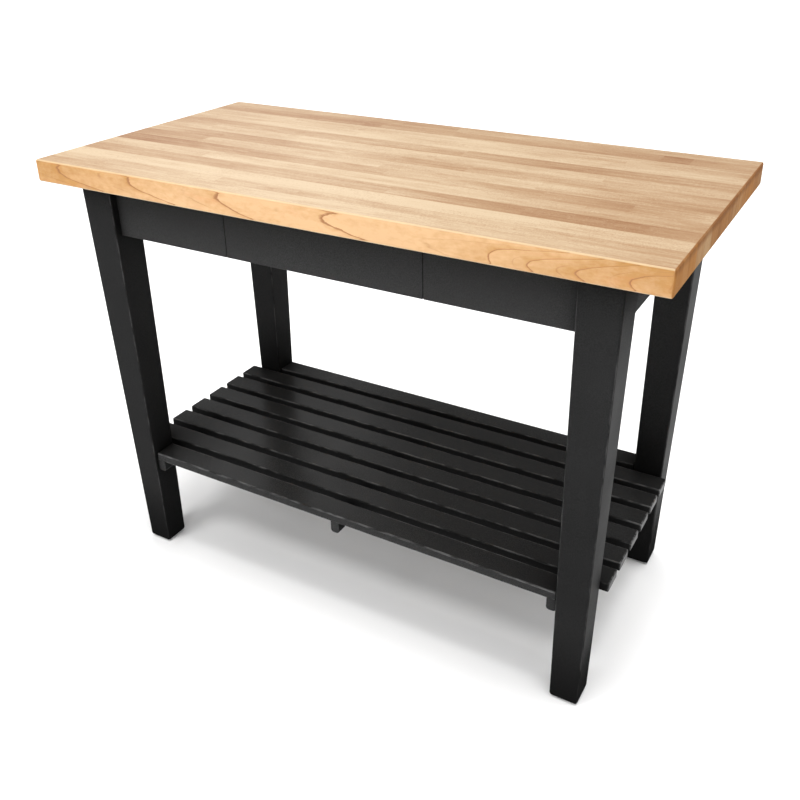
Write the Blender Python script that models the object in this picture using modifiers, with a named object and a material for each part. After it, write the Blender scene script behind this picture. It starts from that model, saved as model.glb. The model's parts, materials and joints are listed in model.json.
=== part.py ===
"""Butcher block table: maple edge-grain top, black painted base, drawer and slatted shelf.

Metres, +Z up, +X to the right along the table's length, -Y to the front, floor at Z = 0.
Every piece of wood and metal is one object. The drawer and the slides' middle members hang
under empties that sit on the slide axes.
"""
import math

import bmesh
import bpy
from mathutils import Matrix, Vector

# ---------------------------------------------------------------- driving dimensions
LENGTH = 1.2192              # 48 in
DEPTH = 0.6096               # 24 in
HEIGHT = 0.889               # 35 in
TOP_THICK = 0.043
GAP = 0.0003                 # between pieces that touch

FRONT_STAVE = 0.039          # the two staves nearest the front are ripped narrower
SECOND_STAVE = 0.0315
STAVE = 0.0453               # the stock width of all the others; the last takes what is left
STAVE_COUNT = 14
TOP_EASE = 0.004

END_OVERHANG = 0.073         # top's end to the outer face of the leg
SIDE_OVERHANG = 0.036        # top's front or back edge to the outer face of the leg
LEG_TOP = 0.072
LEG_FOOT = 0.054
LEG_EASE = 0.003
FOOT_EASE = 0.009

APRON_THICK = 0.019
APRON_HEIGHT = 0.102
APRON_RECESS = 0.0165        # apron's face behind the leg's outer face
APRON_EASE = 0.001

OPENING_HALF = 0.2032        # half of the 16 in drawer opening
SEAM = 0.0012                # around the drawer front
DRAWER_TOP_GAP = 0.002
RAIL_RISE = 0.008            # drawer rail's lower edge above the apron's
PULL_RADIUS = 0.009          # finger cove under the drawer front
PULL_LENGTH = 0.130

BRACE_THICK = 0.020
BRACE_HEIGHT = 0.070
BRACE_DROP = 0.051           # brace's middle below the worktop
BOLT_RADIUS = 0.004
BOLT_IN_LEG = 0.045
BOLT_PROUD = 0.014
NUT_RADIUS = 0.0075
NUT_HEIGHT = 0.0065
WASHER_RADIUS = 0.011
WASHER_THICK = 0.0016

SLIDE_LENGTH = 0.406
SLIDE_HEIGHT = 0.045
SLIDE_WALL = 0.0012
SLIDE_WIDTH = 0.0127         # rail to drawer side
SLIDE_RISE = 0.047           # slide axis above the apron's lower edge
SLIDE_SETBACK = 0.0025       # slide's front end behind the front apron
CABINET_LIP = 0.0095         # each member's web and lips, counted from the rail's face
MIDDLE_WEB = 0.0018
MIDDLE_LIP = 0.0108
DRAWER_LIP = 0.0042
MIDDLE_INSET = 0.003         # each inner member's flange below the cabinet member's
DRAWER_INSET = 0.0065

BOX_WALL = 0.012
BOX_DEPTH = 0.420
BOX_HEIGHT = 0.070
BOX_RISE = 0.012             # drawer side's lower edge above the apron's
BOTTOM_THICK = 0.006
BOTTOM_RISE = 0.008          # bottom panel above the sides' lower edge
GROOVE_DEPTH = 0.006
BOX_EASE = 0.0008

SLAT_COUNT = 8
SLAT_WIDTH = 0.0475
SLAT_PITCH = 0.0645
SLAT_THICK = 0.018
SLAT_UNDERSIDE = 0.224
SLAT_END_GAP = 0.0024        # short slat to leg
SLAT_EASE = 0.0025
BATTEN_THICK = 0.019
BATTEN_HEIGHT = 0.026
BATTEN_ROUND = 0.006
BATTEN_EASE = 0.001
BATTEN_HALF = 0.2475
SCREW_RADIUS = 0.0025
SCREW_HEAD = 0.0045
SCREW_HEAD_HEIGHT = 0.0025
SCREW_IN_LEG = 0.030
SCREW_SIDE = 0.029           # screw's axis beyond the leg's inner face
SCREW_HOLE_SPARE = 0.003     # hole's length beyond the screw's

CUT_PAST = 0.01              # how far a cutter runs past the piece it cuts

# ---------------------------------------------------------------- derived dimensions
UNDERSIDE = HEIGHT - TOP_THICK
BASE_TOP = UNDERSIDE - GAP
LEG_OUT_X = LENGTH / 2 - END_OVERHANG
LEG_OUT_Y = DEPTH / 2 - SIDE_OVERHANG
LEG_IN_X = LEG_OUT_X - LEG_TOP
LEG_IN_Y = LEG_OUT_Y - LEG_TOP
APRON_OUT_X = LEG_OUT_X - APRON_RECESS
APRON_OUT_Y = LEG_OUT_Y - APRON_RECESS
APRON_IN_X = APRON_OUT_X - APRON_THICK
APRON_IN_Y = APRON_OUT_Y - APRON_THICK
APRON_BOTTOM = BASE_TOP - APRON_HEIGHT
SLIDE_Z = APRON_BOTTOM + SLIDE_RISE
BOX_OUT_X = OPENING_HALF - SLIDE_WIDTH - 2 * GAP
BOX_FRONT_Y = -APRON_IN_Y + GAP
BOX_BACK_Y = BOX_FRONT_Y + BOX_DEPTH
BOX_BOTTOM = APRON_BOTTOM + BOX_RISE
BRACE_Z = UNDERSIDE - BRACE_DROP
BATTEN_TOP = SLAT_UNDERSIDE - GAP
BATTEN_OUT_X = LEG_IN_X - GAP
SCREW_Z = BATTEN_TOP - BATTEN_HEIGHT / 2
SCREW_Y = LEG_IN_Y + SCREW_SIDE

PART_COLLECTION = "butcher_block_table"
CUTTER_COLLECTION = "cutters"


# ---------------------------------------------------------------- scene and materials
def clear_scene():
    for old in list(bpy.data.objects):
        bpy.data.objects.remove(old, do_unlink=True)
    for name in (PART_COLLECTION, CUTTER_COLLECTION):
        bpy.context.scene.collection.children.link(bpy.data.collections.new(name))


def make_material(name, color, roughness, metallic=0.0):
    material = bpy.data.materials.new(name)
    material.use_nodes = True
    shader = material.node_tree.nodes["Principled BSDF"]
    shader.inputs["Base Color"].default_value = (*color, 1.0)
    shader.inputs["Roughness"].default_value = roughness
    shader.inputs["Metallic"].default_value = metallic
    return material


def make_materials():
    return {
        "maple": make_material("maple", (0.72, 0.50, 0.29), 0.45),
        "paint": make_material("black_paint", (0.030, 0.030, 0.032), 0.42),
        "box": make_material("drawer_wood", (0.66, 0.50, 0.32), 0.55),
        "steel": make_material("zinc_steel", (0.62, 0.62, 0.60), 0.35, 1.0),
    }


# ---------------------------------------------------------------- modelling helpers
def add_object(name, mesh, material=None, collection=PART_COLLECTION):
    item = bpy.data.objects.new(name, mesh)
    bpy.data.collections[collection].objects.link(item)
    if material:
        mesh.materials.append(material)
    return item


def box_mesh(name, size):
    mesh = bpy.data.meshes.new(name)
    shape = bmesh.new()
    bmesh.ops.create_cube(shape, size=1.0)
    bmesh.ops.scale(shape, vec=Vector(size), verts=shape.verts)
    shape.to_mesh(mesh)
    shape.free()
    return mesh


def ease(item, width, segments=2):
    bevel = item.modifiers.new("eased_edges", "BEVEL")
    bevel.width = width
    bevel.segments = segments
    bevel.limit_method = "ANGLE"
    bevel.angle_limit = math.radians(40)
    return bevel


def add_box(name, low, high, material, round_by=0.0, segments=2):
    """A box between two corners, with its edges eased."""
    low, high = Vector(low), Vector(high)
    item = add_object(name, box_mesh(name, high - low), material)
    item.location = (low + high) / 2
    if round_by:
        ease(item, round_by, segments)
    return item


def add_cutter(name, mesh, location, rotation=(0.0, 0.0, 0.0)):
    cutter = add_object(name, mesh, collection=CUTTER_COLLECTION)
    cutter.location = location
    cutter.rotation_euler = rotation
    cutter.hide_render = True
    cutter.display_type = "WIRE"
    return cutter


def box_cutter(name, low, high):
    low, high = Vector(low), Vector(high)
    return add_cutter(name, box_mesh(name, high - low), (low + high) / 2)


def cylinder_mesh(name, radius, length, sides=24):
    """A cylinder along local X, from x = 0 to x = length."""
    mesh = bpy.data.meshes.new(name)
    shape = bmesh.new()
    bmesh.ops.create_cone(shape, cap_ends=True, segments=sides,
                          radius1=radius, radius2=radius, depth=length)
    bmesh.ops.rotate(shape, verts=shape.verts, matrix=Matrix.Rotation(math.pi / 2, 3, "Y"))
    bmesh.ops.translate(shape, verts=shape.verts, vec=(length / 2, 0.0, 0.0))
    shape.to_mesh(mesh)
    shape.free()
    return mesh


def combine(item, other, operation):
    boolean = item.modifiers.new(operation.lower(), "BOOLEAN")
    boolean.operation = operation
    boolean.solver = "EXACT"
    boolean.object = other


def cut(item, cutter):
    combine(item, cutter, "DIFFERENCE")


def shade_round(item):
    for face in item.data.polygons:
        face.use_smooth = len(face.vertices) == 4


def hang_under(empty, items):
    for item in items:
        item.parent = empty
        item.matrix_parent_inverse = empty.matrix_basis.inverted()


def add_joint_empty(name, location):
    empty = bpy.data.objects.new(name, None)
    empty.location = location
    empty.empty_display_size = 0.05
    bpy.data.collections[PART_COLLECTION].objects.link(empty)
    return empty


def side_name(sign):
    return "right" if sign > 0 else "left"


def corner_name(sign_x, sign_y):
    return ("back_" if sign_y > 0 else "front_") + side_name(sign_x)


CORNERS = [(sx, sy) for sy in (-1, 1) for sx in (-1, 1)]


# ---------------------------------------------------------------- worktop
def stave_edges():
    """Y of the glue lines, from the front edge to the back one."""
    edges = [-DEPTH / 2, -DEPTH / 2 + FRONT_STAVE]
    edges.append(edges[-1] + SECOND_STAVE)
    while len(edges) < STAVE_COUNT:
        edges.append(edges[-1] + STAVE)
    return edges + [DEPTH / 2]


def is_outer_edge(edge, front, back):
    """True for the edges on the worktop's own outline, not those along a glue line."""
    a, b = edge.verts[0].co, edge.verts[1].co
    middle = (a + b) / 2
    on_end = abs(abs(middle.x) - LENGTH / 2) < GAP
    across = abs(a.y - b.y) > GAP
    if across:
        return on_end
    on_front = front and abs(middle.y + DEPTH / 2) < GAP
    on_back = back and abs(middle.y - DEPTH / 2) < GAP
    return on_front or on_back


def make_stave(number, low_y, high_y, material):
    name = f"top_stave_{number:02d}"
    mesh = bpy.data.meshes.new(name)
    shape = bmesh.new()
    bmesh.ops.create_cube(shape, size=1.0)
    bmesh.ops.scale(shape, vec=(LENGTH, high_y - low_y, TOP_THICK), verts=shape.verts)
    middle = Vector((0.0, (low_y + high_y) / 2, HEIGHT - TOP_THICK / 2))
    bmesh.ops.translate(shape, verts=shape.verts, vec=middle)
    first, last = number == 1, number == STAVE_COUNT
    outer = [edge for edge in shape.edges if is_outer_edge(edge, first, last)]
    bmesh.ops.bevel(shape, geom=outer, offset=TOP_EASE, segments=3, profile=0.5, affect="EDGES")
    bmesh.ops.translate(shape, verts=shape.verts, vec=-middle)
    shape.to_mesh(mesh)
    shape.free()
    item = add_object(name, mesh, material)
    item.location = middle


def make_worktop(material):
    edges = stave_edges()
    for number in range(1, STAVE_COUNT + 1):
        low = edges[number - 1] + (GAP / 2 if number > 1 else 0.0)
        high = edges[number] - (GAP / 2 if number < STAVE_COUNT else 0.0)
        make_stave(number, low, high, material)


# ---------------------------------------------------------------- legs and corner braces
def leg_mesh(name, sign_x, sign_y):
    """A square leg whose two outer faces lean in towards the foot; the inner faces are plumb."""
    mesh = bpy.data.meshes.new(name)
    shape = bmesh.new()
    bmesh.ops.create_cube(shape, size=1.0)
    for vert in shape.verts:
        outer_x = vert.co.x * sign_x > 0
        outer_y = vert.co.y * sign_y > 0
        width = LEG_TOP if vert.co.z > 0 else LEG_FOOT
        vert.co = Vector((sign_x * (LEG_IN_X + (width if outer_x else 0.0)),
                          sign_y * (LEG_IN_Y + (width if outer_y else 0.0)),
                          BASE_TOP if vert.co.z > 0 else 0.0))
    foot = [edge for edge in shape.edges if all(vert.co.z == 0.0 for vert in edge.verts)]
    bmesh.ops.bevel(shape, geom=foot, offset=FOOT_EASE, segments=3, profile=0.5, affect="EDGES")
    bmesh.ops.recalc_face_normals(shape, faces=shape.faces)
    shape.to_mesh(mesh)
    shape.free()
    return mesh


def brace_mesh(name):
    """A block mitred at both ends; local +X points at the leg, its outer face is at X = 0."""
    half_outer = (LEG_TOP - APRON_RECESS - APRON_THICK - 2 * GAP) * math.sqrt(2)
    mesh = bpy.data.meshes.new(name)
    shape = bmesh.new()
    bmesh.ops.create_cube(shape, size=1.0)
    for vert in shape.verts:
        back = vert.co.x < 0
        reach = half_outer + (BRACE_THICK if back else 0.0)
        vert.co = Vector((-BRACE_THICK if back else 0.0,
                          math.copysign(reach, vert.co.y),
                          math.copysign(BRACE_HEIGHT / 2, vert.co.z)))
    shape.to_mesh(mesh)
    shape.free()
    return mesh


def make_hanger_bolt(name, start, angle, material):
    """A stud through the brace into the leg, with its washer and nut on the brace's inner face."""
    length = BOLT_PROUD + BRACE_THICK + BOLT_IN_LEG
    bolt = add_object(name, cylinder_mesh(name, BOLT_RADIUS, length), material)
    bolt.location = start
    bolt.rotation_euler = (0.0, 0.0, angle)
    shade_round(bolt)
    direction = Vector((math.cos(angle), math.sin(angle), 0.0))
    face = BOLT_PROUD - GAP
    washer_at = start + direction * (face - WASHER_THICK)
    nut_at = start + direction * (face - WASHER_THICK - NUT_HEIGHT)
    washer = cylinder_mesh(name + "_washer", WASHER_RADIUS, WASHER_THICK, 32)
    nut = cylinder_mesh(name + "_nut", NUT_RADIUS, NUT_HEIGHT + WASHER_THICK / 2, 6)
    combine(bolt, add_cutter(name + "_washer", washer, washer_at, (0.0, 0.0, angle)), "UNION")
    combine(bolt, add_cutter(name + "_nut", nut, nut_at, (0.0, 0.0, angle)), "UNION")
    return bolt


def make_corner(sign_x, sign_y, materials):
    corner = corner_name(sign_x, sign_y)
    leg = add_object("leg_" + corner, leg_mesh("leg_" + corner, sign_x, sign_y), materials["paint"])
    ease(leg, LEG_EASE, 3)
    angle = math.atan2(sign_y, sign_x)
    direction = Vector((math.cos(angle), math.sin(angle), 0.0))
    seat = Vector((sign_x * LEG_IN_X, sign_y * LEG_IN_Y, BRACE_Z)) - direction * GAP
    brace_name = "corner_brace_" + corner
    brace = add_object(brace_name, brace_mesh(brace_name), materials["paint"])
    brace.location = seat
    brace.rotation_euler = (0.0, 0.0, angle)
    start = seat - direction * (BRACE_THICK + BOLT_PROUD)
    make_hanger_bolt("hanger_bolt_" + corner, start, angle, materials["steel"])
    hole_length = BOLT_PROUD + BRACE_THICK + BOLT_IN_LEG + 2 * GAP
    hole = cylinder_mesh("hole_" + corner, BOLT_RADIUS + GAP, hole_length)
    cutter = add_cutter("hole_" + corner, hole, start, (0.0, 0.0, angle))
    cut(brace, cutter)
    cut(leg, cutter)
    return leg


# ---------------------------------------------------------------- aprons and drawer rails
def make_aprons(paint):
    side_reach = LEG_IN_X - GAP
    low, high = APRON_BOTTOM, BASE_TOP
    for sign in (-1, 1):
        inner, outer = sorted((sign * OPENING_HALF, sign * side_reach))
        add_box("apron_front_" + side_name(sign), (inner, -APRON_OUT_Y, low),
                (outer, -APRON_IN_Y, high), paint, APRON_EASE)
        near, far = sorted((sign * APRON_IN_X, sign * APRON_OUT_X))
        add_box("apron_" + side_name(sign), (near, -LEG_IN_Y + GAP, low),
                (far, LEG_IN_Y - GAP, high), paint, APRON_EASE)
    add_box("apron_back", (-side_reach, APRON_IN_Y, low), (side_reach, APRON_OUT_Y, high),
            paint, APRON_EASE)


def make_drawer_rails(paint):
    for sign in (-1, 1):
        near, far = sorted((sign * (OPENING_HALF + GAP), sign * (OPENING_HALF + APRON_THICK)))
        add_box("drawer_rail_" + side_name(sign), (near, -APRON_IN_Y + GAP, APRON_BOTTOM + RAIL_RISE),
                (far, APRON_IN_Y - GAP, BASE_TOP), paint, APRON_EASE)


# ---------------------------------------------------------------- telescopic slides
def make_channel(name, back_x, lip_x, half_height, material):
    """A channel along Y: its web at back_x, its two flanges reaching to lip_x."""
    front = -APRON_IN_Y + SLIDE_SETBACK
    low_x, high_x = sorted((back_x, lip_x))
    item = add_box(name, (low_x, front, SLIDE_Z - half_height),
                   (high_x, front + SLIDE_LENGTH, SLIDE_Z + half_height), material)
    inward = math.copysign(1.0, lip_x - back_x)
    web, open_side = sorted((back_x + inward * SLIDE_WALL, lip_x + inward * CUT_PAST))
    inside = half_height - SLIDE_WALL
    cut(item, box_cutter(name + "_hollow", (web, front - CUT_PAST, SLIDE_Z - inside),
                         (open_side, front + SLIDE_LENGTH + CUT_PAST, SLIDE_Z + inside)))
    return item


def make_slide(sign, material):
    """The three nested members of one slide; X is counted inwards from the rail's face."""
    def inward(distance):
        return sign * (OPENING_HALF - distance)

    half = SLIDE_HEIGHT / 2
    side = side_name(sign)
    make_channel("slide_cabinet_" + side, inward(0.0), inward(CABINET_LIP), half, material)
    middle = make_channel("slide_middle_" + side, inward(MIDDLE_WEB), inward(MIDDLE_LIP),
                          half - MIDDLE_INSET, material)
    drawer = make_channel("slide_drawer_" + side, inward(SLIDE_WIDTH), inward(DRAWER_LIP),
                          half - DRAWER_INSET, material)
    return middle, drawer


# ---------------------------------------------------------------- drawer
def make_drawer_front(paint):
    half = OPENING_HALF - SEAM
    front = add_box("drawer_front", (-half, -APRON_OUT_Y, APRON_BOTTOM),
                    (half, -APRON_IN_Y, BASE_TOP - DRAWER_TOP_GAP), paint, APRON_EASE)
    back_y = -APRON_IN_Y
    groove_low = BOX_BOTTOM + BOTTOM_RISE - GAP
    reach = BOX_OUT_X - BOX_WALL + GROOVE_DEPTH
    cut(front, box_cutter("bottom_groove_front", (-reach, back_y - GROOVE_DEPTH, groove_low),
                          (reach, back_y + CUT_PAST, groove_low + BOTTOM_THICK + 2 * GAP)))
    pull = cylinder_mesh("finger_pull", PULL_RADIUS, PULL_LENGTH, 32)
    cut(front, add_cutter("finger_pull", pull, (-PULL_LENGTH / 2, back_y, APRON_BOTTOM)))
    return front


def make_drawer_side(sign, wood):
    outer, inner = sign * BOX_OUT_X, sign * (BOX_OUT_X - BOX_WALL)
    low_x, high_x = sorted((outer, inner))
    name = "drawer_side_" + side_name(sign)
    side = add_box(name, (low_x, BOX_FRONT_Y, BOX_BOTTOM),
                   (high_x, BOX_BACK_Y, BOX_BOTTOM + BOX_HEIGHT), wood, BOX_EASE)
    groove_low = BOX_BOTTOM + BOTTOM_RISE - GAP
    deep, open_side = sorted((inner + sign * GROOVE_DEPTH, inner - sign * CUT_PAST))
    cut(side, box_cutter(name + "_groove", (deep, BOX_FRONT_Y - CUT_PAST, groove_low),
                         (open_side, BOX_BACK_Y + CUT_PAST, groove_low + BOTTOM_THICK + 2 * GAP)))
    return side


def make_drawer(materials):
    wood = materials["box"]
    inner = BOX_OUT_X - BOX_WALL - GAP
    panel_low = BOX_BOTTOM + BOTTOM_RISE
    panel_high = panel_low + BOTTOM_THICK
    panel_half = BOX_OUT_X - BOX_WALL + GROOVE_DEPTH - GAP
    back = add_box("drawer_back", (-inner, BOX_BACK_Y - BOX_WALL, panel_high + GAP),
                   (inner, BOX_BACK_Y, BOX_BOTTOM + BOX_HEIGHT), wood, BOX_EASE)
    bottom = add_box("drawer_bottom", (-panel_half, -APRON_IN_Y - GROOVE_DEPTH + GAP, panel_low),
                     (panel_half, BOX_BACK_Y - GAP, panel_high), wood)
    sides = [make_drawer_side(sign, wood) for sign in (-1, 1)]
    return [make_drawer_front(materials["paint"]), back, bottom] + sides


def make_drawer_and_slides(materials):
    pieces = make_drawer(materials)
    for sign in (-1, 1):
        middle, member = make_slide(sign, materials["steel"])
        pieces.append(member)
        at = (sign * OPENING_HALF, -APRON_IN_Y, SLIDE_Z)
        hang_under(add_joint_empty("slide_axis_" + side_name(sign), at), [middle])
    hang_under(add_joint_empty("drawer_axis", (0.0, -APRON_OUT_Y, SLIDE_Z)), pieces)


# ---------------------------------------------------------------- shelf
def make_slats(paint):
    first = -((SLAT_COUNT - 1) * SLAT_PITCH + SLAT_WIDTH) / 2
    for number in range(1, SLAT_COUNT + 1):
        outer = number in (1, SLAT_COUNT)
        reach = LEG_IN_X - SLAT_END_GAP if outer else LEG_OUT_X
        low = first + (number - 1) * SLAT_PITCH
        add_box(f"shelf_slat_{number}", (-reach, low, SLAT_UNDERSIDE),
                (reach, low + SLAT_WIDTH, SLAT_UNDERSIDE + SLAT_THICK), paint, SLAT_EASE)


def batten_mesh(name):
    """A batten along Y whose two long lower edges are rounded over."""
    mesh = bpy.data.meshes.new(name)
    shape = bmesh.new()
    bmesh.ops.create_cube(shape, size=1.0)
    bmesh.ops.scale(shape, vec=(BATTEN_THICK, 2 * BATTEN_HALF, BATTEN_HEIGHT), verts=shape.verts)
    lower = [edge for edge in shape.edges
             if all(vert.co.z < 0 for vert in edge.verts)
             and edge.verts[0].co.x == edge.verts[1].co.x]
    bmesh.ops.bevel(shape, geom=lower, offset=BATTEN_ROUND, segments=5, profile=0.5,
                    affect="EDGES")
    shape.to_mesh(mesh)
    shape.free()
    return mesh


def make_shelf_screw(sign_x, sign_y, material):
    """A pan-head screw from the batten's inner face into the leg."""
    name = "shelf_screw_" + corner_name(sign_x, sign_y)
    face = BATTEN_OUT_X - BATTEN_THICK
    angle = 0.0 if sign_x > 0 else math.pi
    start = Vector((sign_x * (face - GAP), sign_y * SCREW_Y, SCREW_Z))
    length = BATTEN_THICK + SCREW_IN_LEG
    screw = add_object(name, cylinder_mesh(name, SCREW_RADIUS, length), material)
    screw.location = start
    screw.rotation_euler = (0.0, 0.0, angle)
    shade_round(screw)
    head = cylinder_mesh(name + "_head", SCREW_HEAD, SCREW_HEAD_HEIGHT, 32)
    at = start - Vector((sign_x * (SCREW_HEAD_HEIGHT - GAP / 2), 0.0, 0.0))
    head_object = add_cutter(name + "_head", head, at, (0.0, 0.0, angle))
    combine(screw, head_object, "UNION")
    hole = cylinder_mesh(name + "_hole", SCREW_RADIUS + GAP, length + SCREW_HOLE_SPARE)
    mouth = start - Vector((sign_x * SCREW_HEAD_HEIGHT / 2, 0.0, 0.0))
    return add_cutter(name + "_hole", hole, mouth, (0.0, 0.0, angle))


def make_shelf(legs, materials):
    make_slats(materials["paint"])
    places = {"left": -BATTEN_OUT_X + BATTEN_THICK / 2, "middle": 0.0,
              "right": BATTEN_OUT_X - BATTEN_THICK / 2}
    battens = {}
    for place, middle in places.items():
        name = "shelf_batten_" + place
        batten = add_object(name, batten_mesh(name), materials["paint"])
        batten.location = (middle, 0.0, BATTEN_TOP - BATTEN_HEIGHT / 2)
        ease(batten, BATTEN_EASE)
        battens[place] = batten
    for sign_x, sign_y in CORNERS:
        hole = make_shelf_screw(sign_x, sign_y, materials["steel"])
        cut(battens[side_name(sign_x)], hole)
        cut(legs[(sign_x, sign_y)], hole)


# ---------------------------------------------------------------- assembly
def main():
    clear_scene()
    materials = make_materials()
    make_worktop(materials["maple"])
    legs = {(sx, sy): make_corner(sx, sy, materials) for sx, sy in CORNERS}
    make_aprons(materials["paint"])
    make_drawer_rails(materials["paint"])
    make_drawer_and_slides(materials)
    make_shelf(legs, materials)


main()
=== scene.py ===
"""Looks of the butcher block table: maple, satin black paint, studio floor, light and camera.

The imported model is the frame. Sizes and places come from its nodes; the values below are the
looks only. Metres, +Z up, -Y to the front, +X to the right.
"""
import json
import math
import random

import bmesh
import bpy
from mathutils import Matrix, Vector


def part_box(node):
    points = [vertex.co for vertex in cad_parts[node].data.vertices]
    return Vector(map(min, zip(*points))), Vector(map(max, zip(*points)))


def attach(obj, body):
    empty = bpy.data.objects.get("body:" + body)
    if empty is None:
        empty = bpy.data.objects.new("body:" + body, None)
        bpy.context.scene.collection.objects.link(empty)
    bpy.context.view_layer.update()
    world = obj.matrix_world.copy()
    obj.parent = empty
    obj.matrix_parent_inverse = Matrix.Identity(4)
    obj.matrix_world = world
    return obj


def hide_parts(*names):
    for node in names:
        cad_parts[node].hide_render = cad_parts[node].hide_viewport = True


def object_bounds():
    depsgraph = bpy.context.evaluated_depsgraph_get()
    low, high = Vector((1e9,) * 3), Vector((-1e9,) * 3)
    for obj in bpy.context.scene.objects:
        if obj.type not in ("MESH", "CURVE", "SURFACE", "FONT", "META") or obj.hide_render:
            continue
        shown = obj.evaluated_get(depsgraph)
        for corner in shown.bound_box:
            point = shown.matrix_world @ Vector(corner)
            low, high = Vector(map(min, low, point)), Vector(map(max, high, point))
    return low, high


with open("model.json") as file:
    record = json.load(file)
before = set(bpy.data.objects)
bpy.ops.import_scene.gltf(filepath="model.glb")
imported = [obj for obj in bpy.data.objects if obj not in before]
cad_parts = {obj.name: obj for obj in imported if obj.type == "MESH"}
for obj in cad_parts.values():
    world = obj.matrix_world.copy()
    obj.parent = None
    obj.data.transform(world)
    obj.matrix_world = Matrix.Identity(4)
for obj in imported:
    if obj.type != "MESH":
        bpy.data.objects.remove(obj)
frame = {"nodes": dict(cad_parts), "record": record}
cad_low, cad_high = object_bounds()

BODY_OF = {node: body for body, nodes in frame["record"]["behaviour"]["bodies"].items()
           for node in nodes}

# ---------------------------------------------------------------- camera and light
CAMERA_PLACE = (0.8558, -1.4443, 1.3309)
CAMERA_TURN = 29.808         # degrees to the left of straight ahead
CAMERA_TILT = -25.931        # degrees up from the horizon; it looks down
CAMERA_ROLL = -0.642         # degrees
CAMERA_SENSOR = 36.0         # mm wide
CAMERA_LENS = 41.10          # mm
CAMERA_SHIFT = (-0.0091, -0.0741)

WORLD_LIGHT = 0.73
SUN_LIGHT = 3.4              # the overhead light
SUN_PLACE = (0.36, 0.10, 4.0)
SUN_WIDTH = 26.0             # degrees
# name, place, target, power, width, height
SOFTBOXES = (
    ("key_softbox", (-1.0, -2.0, 3.1), (0.0, 0.0, 0.5), 41.0, 0.9, 0.7),
    ("back_softbox", (-2.8, 2.9, 3.0), (0.0, 0.0, 0.3), 17.0, 1.7, 1.1),
    ("low_softbox", (-1.75, -2.3, 0.4), (-1.75, -2.3, 0.0), 50.0, 1.4, 1.4),
    ("low_softbox_right", (0.15, -1.6, 0.30), (0.15, -1.6, 0.0), 45.0, 0.5, 0.4),
)
FLOOR_HALF = 40.0            # from the table's middle to the floor's edge
FLOOR_DARKER = (0.84, 0.84, 0.84)
FLOOR_PALER = (0.86, 0.86, 0.86)
FLOOR_ROUGHNESS = 0.9

# ---------------------------------------------------------------- worktop
TOP_EASE = 0.004             # radius of the worktop's own edges
EASE_SEGMENTS = 4
GLUE_HALF = 0.00015          # half the gap between two CAD staves, closed by glue here
JOINT_BLEND = 0.75           # how far neighbouring boards' tones meet at a butt joint
NEAR = 1e-5                  # two places closer than this are the same
CUT_TOLERANCE = 1e-7
CREASE = 38.0                # degrees; sharper edges stay crisp when the rest is shaded smooth
END_FACING = 0.9             # a face's normal along X, above which it is end grain
BOARD_FACTS = ("tone", "rings", "crown", "steep", "seed")

# Each stave is a row of boards butted end to end. A board is its share of the length and its
# tone at its left and right end, from 0 (cream) to 1 (brown). Stave 1 is the front one.
STAVE_BOARDS = (
    ((0.3, 0.37, 0.16), (0.4, 0.11, 0.07), (0.3, 0.11, 0.40)),
    ((0.11, 0.11, 0.16), (0.22, 0.38, 0.18), (0.14, 0.18, 0.16), (0.06, 0.44, 0.26),
     (0.26, 0.12, 0.18), (0.21, 0.28, 0.48)),
    ((0.3, 0.04, 0.00), (0.38, 0.00, 0.00), (0.32, 0.02, 0.22)),
    ((0.12, 0.55, 0.47), (0.455, 0.43, 0.31), (0.2, 0.39, 0.55), (0.16, 0.79, 0.93),
     (0.065, 0.52, 0.57)),
    ((0.22, 0.25, 0.15), (0.42, 0.11, 0.05), (0.2, 0.09, 0.23), (0.16, 0.49, 0.45)),
    ((0.27, 0.82, 0.64), (0.135, 0.44, 0.10), (0.12, 0.60, 0.42), (0.095, 0.24, 0.14),
     (0.15, 0.32, 0.38), (0.125, 0.53, 0.76), (0.105, 0.46, 0.28)),
    ((0.15, 0.59, 0.46), (0.35, 0.24, 0.18), (0.25, 0.20, 0.14), (0.25, 0.28, 0.56)),
    ((0.16, 0.38, 0.44), (0.12, 0.68, 0.56), (0.13, 0.50, 0.28), (0.095, 0.12, 0.16),
     (0.12, 0.54, 0.44), (0.375, 0.28, 0.46)),
    ((0.1, 0.40, 0.30), (0.455, 0.12, 0.08), (0.265, 0.19, 0.26), (0.18, 0.26, 0.32)),
    ((0.3, 0.53, 0.45), (0.28, 0.35, 0.31), (0.2, 0.47, 0.81), (0.22, 0.57, 0.51)),
    ((0.36, 0.22, 0.10), (0.44, 0.10, 0.16), (0.2, 0.20, 0.28)),
    ((0.2, 0.28, 0.20), (0.34, 0.18, 0.14), (0.28, 0.16, 0.22), (0.18, 0.36, 0.42)),
    ((0.33, 0.56, 0.62), (0.035, 0.92, 0.84), (0.145, 0.38, 0.42), (0.35, 0.42, 0.48),
     (0.045, 1.04, 0.82), (0.095, 0.62, 0.56)),
    ((0.37, 0.30, 0.34), (0.02, 0.78, 0.62), (0.11, 0.54, 0.50), (0.5, 0.36, 0.44)),
)

# The front stave's arches: place of each tip as a share of its length, height of the tip below
# the worktop's face, and how fast the arch falls away from it (rings per square metre).
FRONT_ARCHES = ((0.051, 0.012, 780.0), (0.199, 0.009, 700.0), (0.354, 0.010, 620.0),
                (0.541, 0.017, 560.0), (0.777, 0.030, 900.0), (0.827, 0.032, 2000.0),
                (0.886, 0.031, 2400.0), (0.953, 0.031, 1500.0))
FRONT_SEED = 3.7
FRONT_FIRST_RING = -0.3      # at the left end; the first tip counts as ring 0
RINGS_INWARDS = 210.0        # growth rings passed for each metre towards the back
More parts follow.
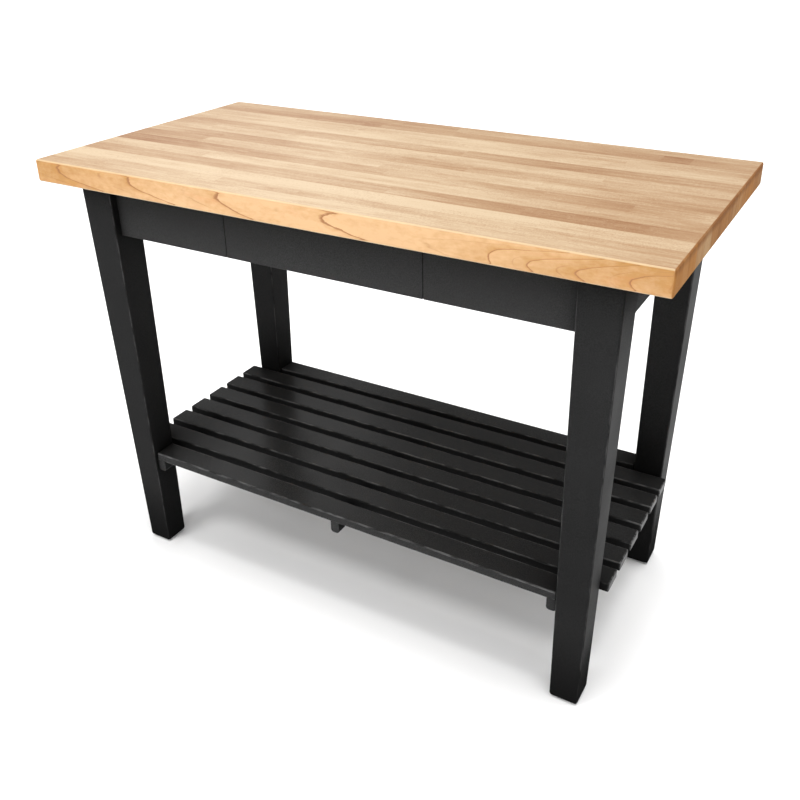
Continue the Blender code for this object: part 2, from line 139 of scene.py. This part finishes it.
# the other staves' boards, drawn at random for each stave
FIRST_DRAW = 100
RING_RATES = (4.0, 9.0)      # rings passed along the whole length
RING_STARTS = (0.0, 20.0)
BOARD_SEEDS = (0.0, 40.0)    # how far a board's pattern is moved, in metres
OTHER_STEEP = 1900.0         # how fast their arches fall away

# below the worktop's face: where a band begins, and where it is full
EDGE_HIGHLIGHT_FROM, EDGE_HIGHLIGHT_FULL = 0.019, 0.013      # painted highlight, pale along the eased long edge
END_TOP_BAND_FROM, END_TOP_BAND_FULL = 0.015, 0.006      # dark, along the top of the end grain
DEPTH_SPREAD, HUE_SPREAD = 7.31, 3.27        # make two unrelated shares of a board's seed

MAPLE_CREAM = (0.446, 0.336, 0.212)
MAPLE_PINK = (0.298, 0.177, 0.086)
MAPLE_BROWN = (0.205, 0.088, 0.026)
# painted highlight along the eased long edges
MAPLE_EDGE_HIGHLIGHT = (0.520, 0.380, 0.225)
MAPLE_PALE_FLECK = (0.60, 0.46, 0.31)
GOLD_PALE = (0.470, 0.290, 0.141)
GOLD_DEEP = (0.308, 0.148, 0.032)
GOLD_STAIN = (0.40, 0.150, 0.045)
RING_BROWN = (0.200, 0.072, 0.014)
END_TAN = (0.372, 0.226, 0.104)
END_ORANGE = (0.320, 0.128, 0.018)
END_BROWN = (0.188, 0.066, 0.008)
END_PORE = (0.12, 0.046, 0.012)
LONG_SHINE, END_SHINE = 0.30, 0.07           # specular level of long faces and end grain

# ---------------------------------------------------------------- base, drawer and slides
# roughness range, the paint's grey, which differs between legs, rails and shelf as painted light
# and shade, its grey where it is rubbed (on the shelf mostly a painted highlight along the edges),
# and its specular level
LEG_PAINT = {"smoothest": 0.36, "roughest": 0.44, "pale": 0.018, "rub_and_highlight_pale": 0.06, "shine": 0.018}
RAIL_PAINT = {"smoothest": 0.38, "roughest": 0.46, "pale": 0.038, "rub_and_highlight_pale": 0.06, "shine": 0.018}
SHELF_PAINT = {"smoothest": 0.20, "roughest": 0.28, "pale": 0.029, "rub_and_highlight_pale": 0.30, "shine": 0.042}
# painted shade: the black that the paint's colour goes towards in corners and under the overhang
PAINTED_SHADE_BLACK = (0.0015, 0.0015, 0.0015)
PAINTED_SHADE_REACH = 0.18          # how near a neighbour must be for the painted shade to darken the paint

BIRCH_MIDDLE = (0.62, 0.44, 0.25)
BIRCH_PALE = (0.70, 0.53, 0.33)
BIRCH_DARK = (0.54, 0.36, 0.19)
BIRCH_BAND = (0.44, 0.27, 0.13)
ZINC_DULL = (0.50, 0.51, 0.52)
ZINC_BRIGHT = (0.68, 0.68, 0.66)

# the axis that the wood's grain follows, by how a node's name starts
GRAIN_AXIS = {"leg": "Z", "corner_brace": "Z", "apron_front": "X", "apron_back": "X",
              "apron_left": "Y", "apron_right": "Y", "drawer_rail": "Y", "drawer_front": "X",
              "shelf_slat": "X", "shelf_batten": "Y", "drawer_side": "Y", "drawer_back": "X",
              "drawer_bottom": "X"}


# ---------------------------------------------------------------- node graphs
def grey(value):
    return (value, value, value)


class Graph:
    """A material's node tree, with short calls for the nodes used here."""

    def __init__(self, name):
        self.material = bpy.data.materials.new(name)
        self.material.use_nodes = True
        self.tree = self.material.node_tree
        self.shader = self.tree.nodes["Principled BSDF"]
        self.shader.distribution = "GGX"

    def feed(self, socket, value):
        if isinstance(value, bpy.types.NodeSocket):
            self.tree.links.new(value, socket)
        else:
            socket.default_value = value

    def node(self, kind, *values, **settings):
        made = self.tree.nodes.new(kind)
        for key, value in settings.items():
            setattr(made, key, value)
        for socket, value in zip(made.inputs, values):
            self.feed(socket, value)
        return made

    def math(self, operation, *values, clamp=False):
        made = self.node("ShaderNodeMath", *values, operation=operation)
        made.use_clamp = clamp
        return made.outputs[0]

    def times(self, one, other):
        return self.math("MULTIPLY", one, other)

    def add(self, first, *others, clamp=False):
        """The sum of all the values; clamp holds it between 0 and 1."""
        total = first
        for value in others[:-1]:
            total = self.math("ADD", total, value)
        return self.math("ADD", total, others[-1], clamp=clamp)

    def fit(self, value, low, high, to_low=0.0, to_high=1.0):
        made = self.node("ShaderNodeMapRange", value, low, high, to_low, to_high)
        return made.outputs[0]

    def swing(self, noise, amount):
        """The middle half of a noise's range, spread evenly about zero."""
        return self.fit(noise, 0.25, 0.75, -amount, amount)

    def place(self):
        return self.node("ShaderNodeTexCoord").outputs["Object"]

    def facing(self, axes):
        """How squarely the surface faces each of the axes, from either side."""
        parts = self.split(self.node("ShaderNodeNewGeometry").outputs["Normal"])
        return [self.math("ABSOLUTE", parts[axis]) for axis in axes]

    def attribute(self, name):
        return self.node("ShaderNodeAttribute", attribute_name=name).outputs["Fac"]

    def split(self, vector):
        return self.node("ShaderNodeSeparateXYZ", vector).outputs

    def join(self, x, y, z):
        return self.node("ShaderNodeCombineXYZ", x, y, z).outputs[0]

    def scaled(self, vector, scale):
        return self.node("ShaderNodeVectorMath", vector, scale, operation="MULTIPLY").outputs[0]

    def moved(self, vector, offset):
        return self.node("ShaderNodeVectorMath", vector, offset, operation="ADD").outputs[0]

    def noise(self, vector, scale=1.0, detail=3.0, roughness=0.5):
        made = self.node("ShaderNodeTexNoise")
        self.feed(made.inputs["Vector"], vector)
        made.inputs["Scale"].default_value = scale
        made.inputs["Detail"].default_value = detail
        made.inputs["Roughness"].default_value = roughness
        return made.outputs["Fac"]

    def grain(self, vector, along, across, axis="X", **settings):
        """Noise drawn out along one axis, from its scale along that axis and across it."""
        scale = [along if letter == axis else across for letter in "XYZ"]
        return self.noise(self.scaled(vector, scale), **settings)

    def ramp(self, value, stops):
        """A colour that follows (place, colour) stops."""
        made = self.node("ShaderNodeValToRGB", value)
        band = made.color_ramp
        while len(band.elements) < len(stops):
            band.elements.new(0.5)
        for element, (at, color) in zip(band.elements, stops):
            element.position = at
            element.color = (*color, 1.0)
        return made.outputs[0]

    def curve(self, value, stops):
        """A number that follows (place, number) stops."""
        return self.ramp(value, [(at, grey(number)) for at, number in stops])

    def mix(self, factor, one, other):
        made = self.node("ShaderNodeMix", data_type="RGBA", blend_type="MIX")
        self.feed(made.inputs[0], factor)
        for socket, value in ((made.inputs[6], one), (made.inputs[7], other)):
            self.feed(socket, value if isinstance(value, bpy.types.NodeSocket) else (*value, 1.0))
        return made.outputs[2]

    def bump(self, height, strength, distance):
        made = self.node("ShaderNodeBump")
        made.inputs["Strength"].default_value = strength
        made.inputs["Distance"].default_value = distance
        self.feed(made.inputs["Height"], height)
        return made.outputs[0]

    def finish(self, color, roughness, normal=None, **others):
        self.feed(self.shader.inputs["Base Color"], color)
        self.feed(self.shader.inputs["Roughness"], roughness)
        if normal is not None:
            self.feed(self.shader.inputs["Normal"], normal)
        for name, value in others.items():
            self.feed(self.shader.inputs[name.replace("_", " ")], value)
        return self.material


# ---------------------------------------------------------------- maple
class Maple(Graph):
    """Flat-sawn maple boards on edge: fine straight grain on top, arched rings on the wide faces.

    Mesh attributes: tone, 0 cream to 1 brown; rings, the growth rings passed along the board;
    seed, a board's own offset; crown, the height of the arches' tips; steep, how fast the
    arches fall away from their tips.
    """

    def __init__(self, name):
        super().__init__(name)
        place = self.place()
        self.tone, self.seed = self.attribute("tone"), self.attribute("seed")
        self.own = self.moved(place, self.join(self.seed, self.seed, self.seed))
        _, self.y, self.z = self.split(place)
        self.facing_x, self.facing_y = self.facing("XY")
        self.streak = self.grain(self.own, 2.2, 170.0, detail=5.0, roughness=0.65)
        self.cloud = self.grain(self.own, 4.5, 34.0, detail=4.0, roughness=0.6)
        # rays: short flecks across the strip, in patches
        self.ray = self.noise(self.scaled(self.own, (420.0, 210.0, 260.0)), detail=2.0,
                              roughness=0.6)
        patches = self.grain(self.own, 7.0, 30.0, detail=2.0)
        self.patches = self.fit(patches, 0.42, 0.60, 0.35, 1.0)
        self.fleck = self.times(self.fit(self.ray, 0.54, 0.70), self.patches)
        self.phase = self.ring_phase()
        self.line = self.curve(self.phase, ((0.0, 0.4), (0.006, 0.0), (0.952, 0.0),
                                            (0.980, 1.0), (0.997, 1.0)))
        self.late = self.curve(self.phase, ((0.0, 0.35), (0.06, 0.0), (0.50, 0.05),
                                            (0.88, 0.40), (0.985, 1.0), (1.0, 0.6)))

    def ring_phase(self):
        """Place within a growth ring, 0 to 1: arches bent by slow waves and a little ragged."""
        wave = self.grain(self.own, 5.0, 26.0, detail=3.0, roughness=0.55)
        ragged = self.grain(self.own, 60.0, 150.0, detail=3.0, roughness=0.6)
        rise = self.math("SUBTRACT", self.z, self.attribute("crown"))
        arch = self.times(self.times(rise, rise), self.attribute("steep"))
        count = self.add(self.math("SUBTRACT", self.attribute("rings"), arch),
                         self.fit(wave, 0.0, 1.0, -0.17, 0.17),
                         self.fit(ragged, 0.0, 1.0, -0.035, 0.035),
                         self.times(self.y, RINGS_INWARDS))
        return self.math("FRACT", count)

    def top_color(self):
        """The board's own tone, mottled and streaked along the grain, with rays across it."""
        patch = self.grain(self.own, 16.0, 45.0, detail=3.0, roughness=0.55)
        fine = self.grain(self.own, 24.0, 480.0, detail=2.0)
        mottle = self.grain(self.own, 170.0, 330.0, detail=3.0, roughness=0.7)
        tone = self.add(self.tone, self.swing(self.streak, 0.13), self.swing(self.cloud, 0.22),
                        self.swing(fine, 0.13), self.swing(mottle, 0.12),
                        self.fit(patch, 0.60, 0.80, 0.0, 0.22), clamp=True)
        color = self.ramp(tone, ((0.0, MAPLE_CREAM), (0.52, MAPLE_PINK), (0.95, MAPLE_BROWN)))
        color = self.mix(self.times(self.fleck, 0.46), color, MAPLE_BROWN)
        pale = self.times(self.fit(self.ray, 0.44, 0.30), self.patches)
        color = self.mix(self.times(pale, 0.24), color, MAPLE_PALE_FLECK)
        color = self.mix(self.times(self.late, 0.10), color, MAPLE_BROWN)
        # painted highlight: the eased long edges are paler
        edge_highlight = self.math("MINIMUM", self.fit(self.facing_y, 0.12, 0.35),
                           self.fit(self.z, cad_high.z - EDGE_HIGHLIGHT_FROM, cad_high.z - EDGE_HIGHLIGHT_FULL))
        return self.mix(self.times(edge_highlight, 0.75), color, MAPLE_EDGE_HIGHLIGHT)

    def wide_color(self):
        """Golden, deeper towards each ring's late wood, with a thin dark line at its end."""
        figure = self.grain(self.own, 70.0, 130.0, detail=3.0, roughness=0.6)
        depth = self.add(self.fit(self.tone, 0.10, 0.45, 0.06, 1.0), self.times(self.late, 0.50),
                         self.fit(self.cloud, 0.25, 0.75, -0.42, 0.34),
                         self.swing(figure, 0.26), clamp=True)
        color = self.mix(depth, GOLD_PALE, GOLD_DEEP)
        stain = self.grain(self.own, 14.0, 60.0, detail=4.0, roughness=0.65)
        stain = self.times(self.fit(stain, 0.55, 0.72), self.fit(self.late, 0.0, 0.5, 0.25, 1.0))
        color = self.mix(self.times(stain, 0.42), color, GOLD_STAIN)
        color = self.mix(self.times(self.line, 0.90), color, RING_BROWN)
        # fainter lines between the rings, broken into short runs
        faint = self.curve(self.phase, ((0.585, 0.0), (0.605, 1.0), (0.615, 1.0), (0.640, 0.0)))
        faint = self.times(faint, self.fit(self.cloud, 0.46, 0.62))
        return self.mix(self.times(faint, 0.50), color, RING_BROWN)

    def end_color(self):
        """End grain drinks more oil: darker strip by strip, with open pores. It is also darker in a
        band along the top.
        """
        pore = self.grain(self.own, 300.0, 900.0, detail=2.0)
        strip = self.noise(self.join(0.5, self.times(self.y, 38.0), self.times(self.z, 9.0)),
                           detail=3.0, roughness=0.6)
        bar = self.noise(self.join(0.5, self.times(self.y, 160.0), self.times(self.z, 14.0)),
                         detail=3.0, roughness=0.6)
        own_depth = self.math("FRACT", self.times(self.seed, DEPTH_SPREAD))
        own_hue = self.math("FRACT", self.times(self.seed, HUE_SPREAD))
        top_band = self.fit(self.z, cad_high.z - END_TOP_BAND_FROM, cad_high.z - END_TOP_BAND_FULL, 0.0, 0.65)
        deep = self.add(self.fit(strip, 0.34, 0.66, -0.20, 0.35),
                        self.fit(bar, 0.3, 0.7, -0.20, 0.28), self.times(own_depth, 0.50),
                        top_band, clamp=True)
        color = self.mix(deep, self.mix(own_hue, END_ORANGE, END_TAN), END_BROWN)
        return self.mix(self.fit(pore, 0.55, 0.75, 0.0, 0.25), color, END_PORE)


def make_maple(name, shine):
    """Oiled maple: each face takes the top's, the wide side's or the end's colour."""
    g = Maple(name)
    on_end = g.fit(g.facing_x, 0.30, 0.55)
    on_side = g.fit(g.facing_y, 0.80, 0.96)
    color = g.mix(on_side, g.top_color(), g.wide_color())
    color = g.mix(on_end, color, g.end_color())
    rough = g.add(g.fit(g.streak, 0.2, 0.8, 0.42, 0.54), g.times(on_end, 0.22),
                  g.times(g.fleck, -0.06))
    height = g.add(g.times(g.ray, 0.5), g.times(g.line, -0.5), g.times(g.streak, 0.8))
    return g.finish(color, rough, g.bump(height, 0.18, 0.0004), Specular_IOR_Level=shine)


# ---------------------------------------------------------------- paint, drawer wood, metal
def make_paint(name, axis, smoothest, roughest, pale, rub_and_highlight_pale, shine):
    """Satin black sprayed paint; the wood's grain shows faintly under it, along one axis."""
    g = Graph(name)
    place = g.place()
    speck = g.noise(place, 520.0, detail=3.0, roughness=0.7)
    cloud = g.noise(place, 9.0, detail=3.0)
    grain = g.grain(place, 14.0, 420.0, axis, detail=3.0, roughness=0.6)
    peel = g.noise(place, 260.0, detail=1.0)
    color = g.mix(g.fit(speck, 0.30, 0.75), grey(pale * 0.26), grey(pale))
    color = g.mix(g.fit(cloud, 0.3, 0.7, 0.0, 0.5), color, grey(pale * 0.56))
    # handling rubs the corners: a little smoother and greyer in broken patches; on the shelf slats
    # these greyer edges are mostly a painted highlight along the eased edges
    facing_x, facing_y, facing_z = g.facing("XYZ")
    flat = g.math("MAXIMUM", g.math("MAXIMUM", facing_x, facing_y), facing_z)
    rub = g.grain(place, 30.0, 160.0, axis, detail=3.0, roughness=0.6)
    rub_and_highlight_mask = g.times(g.fit(flat, 0.985, 0.80), g.fit(rub, 0.42, 0.62))
    color = g.mix(g.times(rub_and_highlight_mask, 0.8), color, grey(rub_and_highlight_pale))
    # painted shade: the colour goes towards black in corners and under the overhang, and the paint
    # is rougher there
    shade_probe = g.node("ShaderNodeAmbientOcclusion", samples=6)
    shade_probe.inputs["Distance"].default_value = PAINTED_SHADE_REACH
    unshaded = g.math("POWER", shade_probe.outputs["AO"], 2.2)
    color = g.mix(g.fit(unshaded, 0.0, 1.0, 0.12, 1.0), PAINTED_SHADE_BLACK, color)
    rough = g.add(g.fit(cloud, 0.3, 0.7, smoothest, roughest),
                  g.fit(speck, 0.3, 0.7, -0.04, 0.06), g.times(rub_and_highlight_mask, -0.14),
                  g.fit(unshaded, 0.45, 0.95, 0.60, 0.0), clamp=True)
    height = g.add(g.times(grain, 0.8), g.times(peel, 0.5), g.times(speck, 0.25))
    return g.finish(color, rough, g.bump(height, 0.20, 0.0004), Specular_IOR_Level=shine)


def make_drawer_wood(axis):
    """Clear-lacquered birch of the drawer box."""
    g = Graph("drawer_birch_" + axis.lower())
    place = g.place()
    bend = g.grain(place, 3.0, 22.0, axis, detail=2.0)
    grain = g.grain(place, 6.0, 240.0, axis, detail=4.0, roughness=0.6)
    bands = g.math("FRACT", g.times(bend, 9.0))
    color = g.ramp(grain, ((0.25, BIRCH_MIDDLE), (0.55, BIRCH_PALE), (0.8, BIRCH_DARK)))
    color = g.mix(g.fit(bands, 0.75, 1.0, 0.0, 0.30), color, BIRCH_BAND)
    rough = g.fit(grain, 0.2, 0.8, 0.38, 0.50)
    return g.finish(color, rough, g.bump(grain, 0.15, 0.0004))


def make_steel():
    """Bright zinc plating with rolling marks along the slides and a mottled sheen."""
    g = Graph("zinc_plated_steel")
    place = g.place()
    rolled = g.grain(place, 12.0, 900.0, "Y", detail=2.0)
    bloom = g.noise(place, 60.0, detail=4.0, roughness=0.6)
    color = g.ramp(bloom, ((0.3, ZINC_DULL), (0.7, ZINC_BRIGHT)))
    rough = g.add(g.fit(bloom, 0.3, 0.7, 0.26, 0.42), g.fit(rolled, 0.3, 0.7, -0.04, 0.04))
    return g.finish(color, rough, g.bump(rolled, 0.10, 0.0002), Metallic=1.0)


# ---------------------------------------------------------------- the worktop's boards
def at_or_between(value, stops):
    """Linear value between (place, value) stops, held beyond the ends."""
    if value <= stops[0][0]:
        return stops[0][1]
    for (a, low), (b, high) in zip(stops, stops[1:]):
        if value <= b:
            return low + (high - low) * (value - a) / (b - a)
    return stops[-1][1]


def board_spans(boards):
    """(start, end, tone at start, tone at end) of each board, in shares of the length."""
    spans, start = [], 0.0
    for share, tone_a, tone_b in boards:
        spans.append((start, start + share, tone_a, tone_b))
        start += share
    for index in range(1, len(spans)):
        before, after = spans[index - 1], spans[index]
        gap = (after[2] - before[3]) * JOINT_BLEND / 2
        spans[index - 1] = (*before[:3], before[3] + gap)
        spans[index] = (*after[:2], after[2] - gap, after[3])
    return spans


def front_facts():
    """Along the front stave: growth rings passed, one more at every tip; crown; steepness."""
    tips = [(share, float(count)) for count, (share, _, _) in enumerate(FRONT_ARCHES)]
    rings = [(0.0, FRONT_FIRST_RING)] + tips + [(1.0, len(tips) + FRONT_FIRST_RING)]
    crown = [(share, cad_high.z - drop) for share, drop, _ in FRONT_ARCHES]
    steep = [(share, fall) for share, _, fall in FRONT_ARCHES]
    return rings, crown, steep


def describe_boards(number, spans, underside, face):
    """Ring stops, crown stops, steepness stops and seed of each board."""
    if number == 1:
        return [(*front_facts(), FRONT_SEED)] * len(spans)
    draw = random.Random(FIRST_DRAW + number)
    facts = []
    for start, end, _, _ in spans:
        rate = draw.uniform(*RING_RATES) * draw.choice((-1.0, 1.0))
        base = draw.uniform(*RING_STARTS)
        rings = [(start, base), (end, base + rate * (end - start))]
        seed, crown = draw.uniform(*BOARD_SEEDS), draw.uniform(underside, face)
        facts.append((rings, [(0.0, crown)], [(0.0, OTHER_STEEP)], seed))
    return facts


# ---------------------------------------------------------------- the worktop's shape
def eased_box(low, high, is_outer):
    """A box between two corners with the chosen edges rounded."""
    shape = bmesh.new()
    bmesh.ops.create_cube(shape, size=1.0)
    bmesh.ops.scale(shape, vec=high - low, verts=shape.verts)
    bmesh.ops.translate(shape, vec=(low + high) / 2, verts=shape.verts)
    outer = [edge for edge in shape.edges if is_outer(edge)]
    bmesh.ops.bevel(shape, geom=outer, offset=TOP_EASE, segments=EASE_SEGMENTS, profile=0.5,
                    affect="EDGES", clamp_overlap=True)
    return shape


def stave_shape(number, low, high):
    """A stave, rounded only along the edges that are the whole worktop's."""
    def is_outer(edge):
        a, b = edge.verts[0].co, edge.verts[1].co
        middle = (a + b) / 2
        if abs(a.y - b.y) > NEAR:
            return min(abs(middle.x - low.x), abs(middle.x - high.x)) < NEAR
        on_front = number == 1 and abs(middle.y - low.y) < NEAR
        on_back = number == len(STAVE_BOARDS) and abs(middle.y - high.y) < NEAR
        return on_front or on_back
    return eased_box(low, high, is_outer)


def cut_across(shape, places):
    """Divides the faces at each X, so that tones can change there."""
    for at in places:
        geometry = shape.verts[:] + shape.edges[:] + shape.faces[:]
        bmesh.ops.bisect_plane(shape, geom=geometry, dist=CUT_TOLERANCE,
                               plane_co=(at, 0.0, 0.0), plane_no=(1.0, 0.0, 0.0))


def write_facts(shape, start_x, length, spans, facts):
    """Stores each board's facts on its faces' corners; end faces get the second material."""
    layers = [shape.loops.layers.float.new(name) for name in BOARD_FACTS]
    for face in shape.faces:
        share = (face.calc_center_median().x - start_x) / length
        index = next((i for i, span in enumerate(spans) if share < span[1]), len(spans) - 1)
        start, end, tone_a, tone_b = spans[index]
        rings, crown, steep, seed = facts[index]
        for corner in face.loops:
            at = (corner.vert.co.x - start_x) / length
            values = (at_or_between(at, [(start, tone_a), (end, tone_b)]),
                      at_or_between(at, rings), at_or_between(at, crown),
                      at_or_between(at, steep), seed)
            for layer, value in zip(layers, values):
                corner[layer] = value
        face.material_index = 1 if abs(face.normal.x) > END_FACING else 0


def add_piece(name, mesh, materials, node):
    """A finished piece that stands for one CAD node and rides on that node's body."""
    for material in materials:
        mesh.materials.append(material)
    mesh.shade_smooth()
    mesh.set_sharp_from_angle(angle=math.radians(CREASE))
    piece = bpy.data.objects.new(name, mesh)
    bpy.context.scene.collection.objects.link(piece)
    weighted = piece.modifiers.new("face_normals", "WEIGHTED_NORMAL")
    weighted.keep_sharp = True
    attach(piece, BODY_OF[node])
    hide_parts(node)


def make_stave(number, materials):
    node = f"top_stave_{number:02d}"
    low, high = (Vector(corner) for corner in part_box(node))
    low.y = low.y if number == 1 else low.y - GLUE_HALF
    high.y = high.y if number == len(STAVE_BOARDS) else high.y + GLUE_HALF
    length = high.x - low.x
    spans = board_spans(STAVE_BOARDS[number - 1])
    cuts = {round(end, 4) for _, end, _, _ in spans[:-1]}
    if number == 1:
        cuts.update(share for share, _, _ in FRONT_ARCHES)
    shape = stave_shape(number, low, high)
    cut_across(shape, [low.x + share * length for share in sorted(cuts)])
    write_facts(shape, low.x, length, spans, describe_boards(number, spans, low.z, high.z))
    mesh = bpy.data.meshes.new(node + "_boards")
    shape.to_mesh(mesh)
    shape.free()
    add_piece(node + "_boards", mesh, materials, node)


def make_worktop():
    materials = make_maple("maple_oiled", LONG_SHINE), make_maple("maple_end_grain", END_SHINE)
    for number in range(1, len(STAVE_BOARDS) + 1):
        make_stave(number, materials)


# ---------------------------------------------------------------- the other pieces' materials
def grain_axis(node):
    return next(axis for start, axis in GRAIN_AXIS.items() if node.startswith(start))


def make_paints():
    """Paint for a node: legs the darkest and aprons and drawer front the palest, as painted shade
    and painted light on one satin black; the shelf the smoothest.
    """
    legs = make_paint("black_paint_legs", "Z", **LEG_PAINT)
    rails = {axis: make_paint("black_paint_" + axis.lower(), axis, **RAIL_PAINT)
             for axis in "XYZ"}
    slats = make_paint("black_paint_shelf", "X", **SHELF_PAINT)

    def paint_of(node):
        if node.startswith("leg"):
            return legs
        return slats if node.startswith("shelf_slat") else rails[grain_axis(node)]
    return paint_of


def finish_frame_nodes(paint_of, birches, steel):
    """Gives every CAD node but the staves its material."""
    slots = {entry["node"]: entry["material_slot"] for entry in frame["record"]["subparts"]}
    for node, item in frame["nodes"].items():
        kind = slots[node]
        if kind == "black_paint":
            chosen = paint_of(node)
        elif kind == "drawer_wood":
            chosen = birches[grain_axis(node)]
        elif kind == "zinc_steel":
            chosen = steel
        else:
            continue
        item.data.materials.clear()
        item.data.materials.append(chosen)


# ---------------------------------------------------------------- studio
def make_floor():
    mesh = bpy.data.meshes.new("studio_floor")
    shape = bmesh.new()
    bmesh.ops.create_grid(shape, x_segments=1, y_segments=1, size=FLOOR_HALF)
    shape.to_mesh(mesh)
    shape.free()
    floor = bpy.data.objects.new("studio_floor", mesh)
    floor.location.z = cad_low.z
    g = Graph("studio_white")
    tint = g.noise(g.place(), 0.6, detail=2.0)
    mesh.materials.append(g.finish(g.mix(tint, FLOOR_DARKER, FLOOR_PALER), FLOOR_ROUGHNESS))
    bpy.context.scene.collection.objects.link(floor)


def make_light(name, kind, place, target, power, **settings):
    data = bpy.data.lights.new(name, kind)
    data.energy = power
    for key, value in settings.items():
        setattr(data, key, value)
    light = bpy.data.objects.new(name, data)
    light.location = place
    aim = Vector(target) - Vector(place)
    light.rotation_euler = aim.to_track_quat("-Z", "Y").to_euler()
    bpy.context.scene.collection.objects.link(light)


def make_studio():
    world = bpy.data.worlds.new("studio_air")
    world.use_nodes = True
    air = world.node_tree.nodes["Background"]
    air.inputs["Color"].default_value = (1.0, 1.0, 1.0, 1.0)
    air.inputs["Strength"].default_value = WORLD_LIGHT
    bpy.context.scene.world = world
    make_floor()
    make_light("overhead", "SUN", SUN_PLACE, (0.0, 0.0, 0.0), SUN_LIGHT,
               angle=math.radians(SUN_WIDTH))
    for name, place, target, power, width, height in SOFTBOXES:
        make_light(name, "AREA", place, target, power, shape="RECTANGLE", size=width,
                   size_y=height)
    bpy.context.scene.view_settings.view_transform = "Standard"
    bpy.context.scene.view_settings.look = "None"


def make_camera():
    data = bpy.data.cameras.new("camera")
    data.sensor_width = CAMERA_SENSOR
    data.lens = CAMERA_LENS
    data.shift_x, data.shift_y = CAMERA_SHIFT
    camera = bpy.data.objects.new("camera", data)
    turn = (Matrix.Rotation(math.radians(CAMERA_TURN), 4, "Z")
            @ Matrix.Rotation(math.radians(90.0 + CAMERA_TILT), 4, "X")
            @ Matrix.Rotation(math.radians(CAMERA_ROLL), 4, "Z"))
    camera.matrix_world = Matrix.Translation(CAMERA_PLACE) @ turn
    bpy.context.scene.collection.objects.link(camera)
    bpy.context.scene.camera = camera


# ---------------------------------------------------------------- scene
make_camera()
make_studio()
make_worktop()
finish_frame_nodes(make_paints(), {axis: make_drawer_wood(axis) for axis in "XY"}, make_steel())
